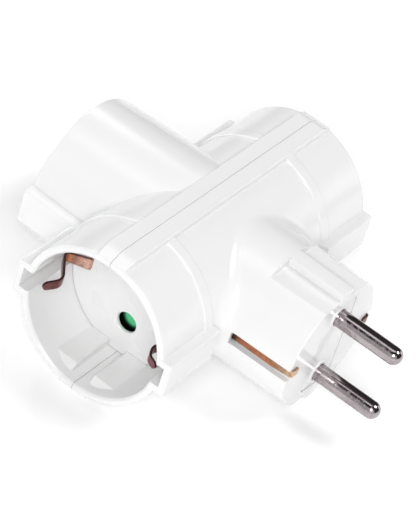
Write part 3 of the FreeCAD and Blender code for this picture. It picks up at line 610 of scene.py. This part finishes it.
class Recipe(Nodes):
    """A Geometry Nodes tree with named inputs, run once on a piece."""

    KINDS = {
        int: "NodeSocketInt",
        float: "NodeSocketFloat",
        bpy.types.Material: "NodeSocketMaterial",
    }

    def __init__(self, name, **amounts):
        super().__init__(bpy.data.node_groups.new(name, "GeometryNodeTree"))
        self.amounts = amounts
        self.keys = {}
        face = self.tree.interface
        face.new_socket("Geometry", in_out="INPUT", socket_type="NodeSocketGeometry")
        for label, value in amounts.items():
            socket = face.new_socket(label, in_out="INPUT", socket_type=self.KINDS[type(value)])
            self.keys[label] = socket.identifier
        face.new_socket("Geometry", in_out="OUTPUT", socket_type="NodeSocketGeometry")
        self.start = self.tree.nodes.new("NodeGroupInput")
        self.finish = self.tree.nodes.new("NodeGroupOutput")

    def amount(self, label):
        return Level(self.tree, self.start.outputs[label])

    def kept(self, name):
        """A number that the base mesh's points carry."""
        return self.add("GeometryNodeInputNamedAttribute", {"data_type": "FLOAT"}, {"Name": name})

    def store(self, geometry, name, value):
        """Leaves a number on every point for the material to read."""
        settings = {"data_type": "FLOAT", "domain": "POINT"}
        return self.add("GeometryNodeStoreNamedAttribute", settings, {
            "Geometry": geometry, "Name": name, "Value": value})

    def join(self, *geometries):
        node = self.tree.nodes.new("GeometryNodeJoinGeometry")
        for geometry in geometries:
            self.tree.links.new(geometry.socket, node.inputs[0])
        return Level(self.tree, node.outputs[0])

    def line(self, start, end):
        return self.add("GeometryNodeCurvePrimitiveLine", {"mode": "POINTS"}, {
            "Start": start, "End": end})

    def level(self, curve):
        """Keeps the profile upright all along a curve."""
        return self.add("GeometryNodeSetCurveNormal", {"mode": "Z_UP"}, {"Curve": curve})

    def sweep(self, curve, profile, scale):
        return self.add("GeometryNodeCurveToMesh", inputs={
            "Curve": curve, "Profile Curve": profile, "Scale": scale})

    def instances(self, points, shape, tilt, selection=True):
        """The shape on each point, tilted and then turned by the point's own turn."""
        way = self.add("ShaderNodeCombineXYZ", inputs={**tilt, "Z": self.kept("turn")})
        way = self.add("FunctionNodeEulerToRotation", inputs={"Euler": way})
        return self.add("GeometryNodeInstanceOnPoints", inputs={
            "Points": points, "Selection": selection, "Instance": shape, "Rotation": way})

    def run(self, piece, *geometries):
        """Joins and realizes the geometries, sets the material and runs the tree."""
        solid = self.add("GeometryNodeRealizeInstances", inputs={
            "Geometry": self.join(*geometries)})
        dressed = self.add("GeometryNodeSetMaterial", inputs={
            "Geometry": solid, "Material": self.amount("Metal")})
        fill(self.tree, self.finish.inputs[0], dressed)
        modifier = piece.modifiers.new(self.tree.name, "NODES")
        modifier.node_group = self.tree
        for label, value in self.amounts.items():
            modifier[self.keys[label]] = value


def new_piece(name, points, edges=(), **kept):
    """A piece whose base mesh carries the named numbers on its points."""
    mesh = bpy.data.meshes.new(name)
    mesh.from_pydata(points, edges, [])
    for label, values in kept.items():
        mesh.attributes.new(label, "FLOAT", "POINT").data.foreach_set("value", values)
    piece = bpy.data.objects.new(name, mesh)
    bpy.context.collection.objects.link(piece)
    return piece


def sheet(piece, thickness_mm):
    """Thickens the swept surfaces, by half of the thickness to each side."""
    thick = piece.modifiers.new("sheet", "SOLIDIFY")
    thick.thickness = thickness_mm * MM
    thick.offset = 0.0


def settle(piece, material):
    """Keeps what the modifiers made as a plain mesh with smooth shading."""
    graph = bpy.context.evaluated_depsgraph_get()
    mesh = bpy.data.meshes.new_from_object(
        piece.evaluated_get(graph), preserve_all_data_layers=True, depsgraph=graph)
    piece.modifiers.clear()
    mesh.materials.clear()
    mesh.materials.append(material)
    mesh.polygons.foreach_set("material_index", [0] * len(mesh.polygons))
    mesh.polygons.foreach_set("use_smooth", [True] * len(mesh.polygons))
    mesh.set_sharp_from_angle(angle=math.radians(SHARP_DEGREES))
    piece.data = mesh
    print(piece.name, "has", sum(len(face.vertices) - 2 for face in mesh.polygons), "triangles")


print("geometry helpers ready")

# %% [markdown]
# The strips are bent here. A strip is swept as a surface and only then given
# the thickness of the sheet, with the small rounded edge that stamping leaves.
# The short tabs, which join the strips' roots to the earth plate, are plain
# leaves on points.

# %% Bend the strips
SPACING = 0.2
LANES = 9
CORNER_STEPS = 10
STAMPED_EDGE = 0.08
STAMPED_DEGREES = 50.0
BLUNT = 0.99  # a tip that narrows to nothing would pinch the sheet


def strip_points(runs, tabs):
    """Base points and edges, and for each point its bend, half width, tip, tab and turn."""
    points, edges, kept = [], [], []
    for run in runs:
        for number, (spot, lift, bend, half, tip) in enumerate(run):
            if number:
                edges.append((len(points) - 1, len(points)))
            points.append((spot.x * MM, spot.y * MM, lift * MM))
            kept.append((bend * MM, half * MM, tip * MM, 0.0, 0.0))
    for spot, angle in tabs:
        points.append((spot.x * MM, spot.y * MM, (TAB_FOOT + TAB_TOP) / 2 * MM))
        kept.append((0.0, 0.0, 0.0, 1.0, angle))
    return points, edges, dict(zip(("bend", "half_width", "tip", "tab", "turn"), zip(*kept)))


def make_strips(name, runs, tabs, metal, replaced):
    """All strips of one kind as one piece that rides on the housing."""
    points, edges, kept = strip_points(runs, tabs)
    piece = new_piece(name, points, edges, **kept)
    recipe = Recipe(name + "_recipe", Spacing=SPACING * MM, Lanes=LANES, Corner=CORNER_STEPS,
                    Tab_length=TAB_LENGTH * MM, Tab_height=(TAB_TOP - TAB_FOOT) * MM,
                    Metal=metal)
    base = recipe.amount("Geometry")
    line = recipe.add("GeometryNodeMeshToCurve", inputs={"Mesh": base})
    line = recipe.add("GeometryNodeFilletCurve", {"mode": "POLY"}, {
        "Curve": line, "Count": recipe.amount("Corner"), "Radius": recipe.kept("bend"),
        "Limit Radius": True})
    line = recipe.level(recipe.add("GeometryNodeResampleCurve", {"mode": "LENGTH"}, {
        "Curve": line, "Length": recipe.amount("Spacing")}))
    left = recipe.add("GeometryNodeSplineLength") - recipe.add(
        "GeometryNodeSplineParameter", output="Length")
    line = recipe.store(line, "from_tip", left)
    near = (1.0 - left / recipe.kept("tip")).greater(0.0)
    round_tip = (1.0 - near * near * BLUNT).root()
    profile = recipe.add("GeometryNodeResampleCurve", {"mode": "COUNT"}, {
        "Curve": recipe.line((0.0, -1.0, 0.0), (0.0, 1.0, 0.0)),
        "Count": recipe.amount("Lanes")})
    lane = recipe.add("GeometryNodeSplineParameter", output="Factor")
    profile = recipe.store(profile, "across", lane * 2.0 - 1.0)
    band = recipe.sweep(line, profile, recipe.kept("half_width") * round_tip)
    leaf = recipe.add("GeometryNodeMeshGrid", inputs={
        "Size X": recipe.amount("Tab_length"), "Size Y": recipe.amount("Tab_height"),
        "Vertices X": 2, "Vertices Y": 2})
    leaves = recipe.instances(base, leaf, {"X": math.pi / 2}, recipe.kept("tab"))
    recipe.run(piece, band, leaves)

    sheet(piece, SHEET_MM)
    edge = piece.modifiers.new("stamped_edge", "BEVEL")
    edge.width = STAMPED_EDGE * MM
    edge.segments = 2
    edge.limit_method = "ANGLE"
    edge.angle_limit = math.radians(STAMPED_DEGREES)
    settle(piece, metal)
    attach(piece, "housing")
    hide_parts(*replaced)


make_strips("earth_contacts", CONTACT_RUNS, CONTACT_TABS, MATERIALS["contact_copper"], [
    f"{side}_earth_contact_{number}" for side in ("left", "right", "rear") for number in (1, 2)])
make_strips("plug_clips", CLIP_RUNS, CLIP_TABS, MATERIALS["clip_copper"], [
    "left_plug_earth_clip", "right_plug_earth_clip"])

# %% [markdown]
# Behind each green shutter sits a black ring, a dark sheet that stands in
# for the shade deep in the housing, so the pin holes look black beside the
# shutter. It is a flat ring with two gaps, where the earth contacts pass. All
# three sockets have the same ring, so it is made once and set on three points.

# %% Black rims behind the shutters, standing in for shade
RIM_MIDDLE = 15.3
RIM_HALF = 2.2
RIM_DEPTH = 5.1  # behind the recess floor
RIM_SHEET = 0.7
RIM_STEPS = 64
RIM_GAP = math.radians(12)


def make_shade_rims():
    """Split ring behind each socket floor, standing in for shade, as one piece on the housing."""
    spots = [CROSSING + upright(turn)[0] * (floor - RIM_DEPTH) for turn, floor in FLOORS.items()]
    piece = new_piece("shade_rims", [(spot.x * MM, spot.y * MM, 0.0) for spot in spots],
                      turn=[math.radians(turn) for turn in FLOORS])
    recipe = Recipe("insert_rim_recipe", Radius=RIM_MIDDLE * MM, Half=RIM_HALF * MM,
                    Steps=RIM_STEPS, Metal=MATERIALS["keeper_black"])
    profile = recipe.line((-1.0, 0.0, 0.0), (1.0, 0.0, 0.0))
    halves = []
    for middle in (-math.pi / 2, math.pi / 2):
        arc = recipe.add("GeometryNodeCurveArc", inputs={
            "Resolution": recipe.amount("Steps"), "Radius": recipe.amount("Radius"),
            "Start Angle": RIM_GAP + middle, "Sweep Angle": math.pi - 2 * RIM_GAP})
        halves.append(recipe.sweep(recipe.level(arc), profile, recipe.amount("Half")))
    ring = recipe.join(*halves)
    recipe.run(piece, recipe.instances(recipe.amount("Geometry"), ring, {"Y": math.pi / 2}))
    sheet(piece, RIM_SHEET)
    settle(piece, MATERIALS["keeper_black"])
    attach(piece, "housing")


make_shade_rims()

# %% [markdown]
# The other pieces keep the meshes that the frame gives them. Each gets the
# finish that the record names for it; the block round the pins gets its own,
# with sharper edges.

# %% Give every piece its finish
OWN_FINISH = {"pin_carrier": "carrier_white"}
for part in frame["record"]["subparts"]:
    mesh = NODES[part["node"]].data
    mesh.materials.clear()
    mesh.materials.append(MATERIALS[OWN_FINISH.get(part["node"], part["material_slot"])])
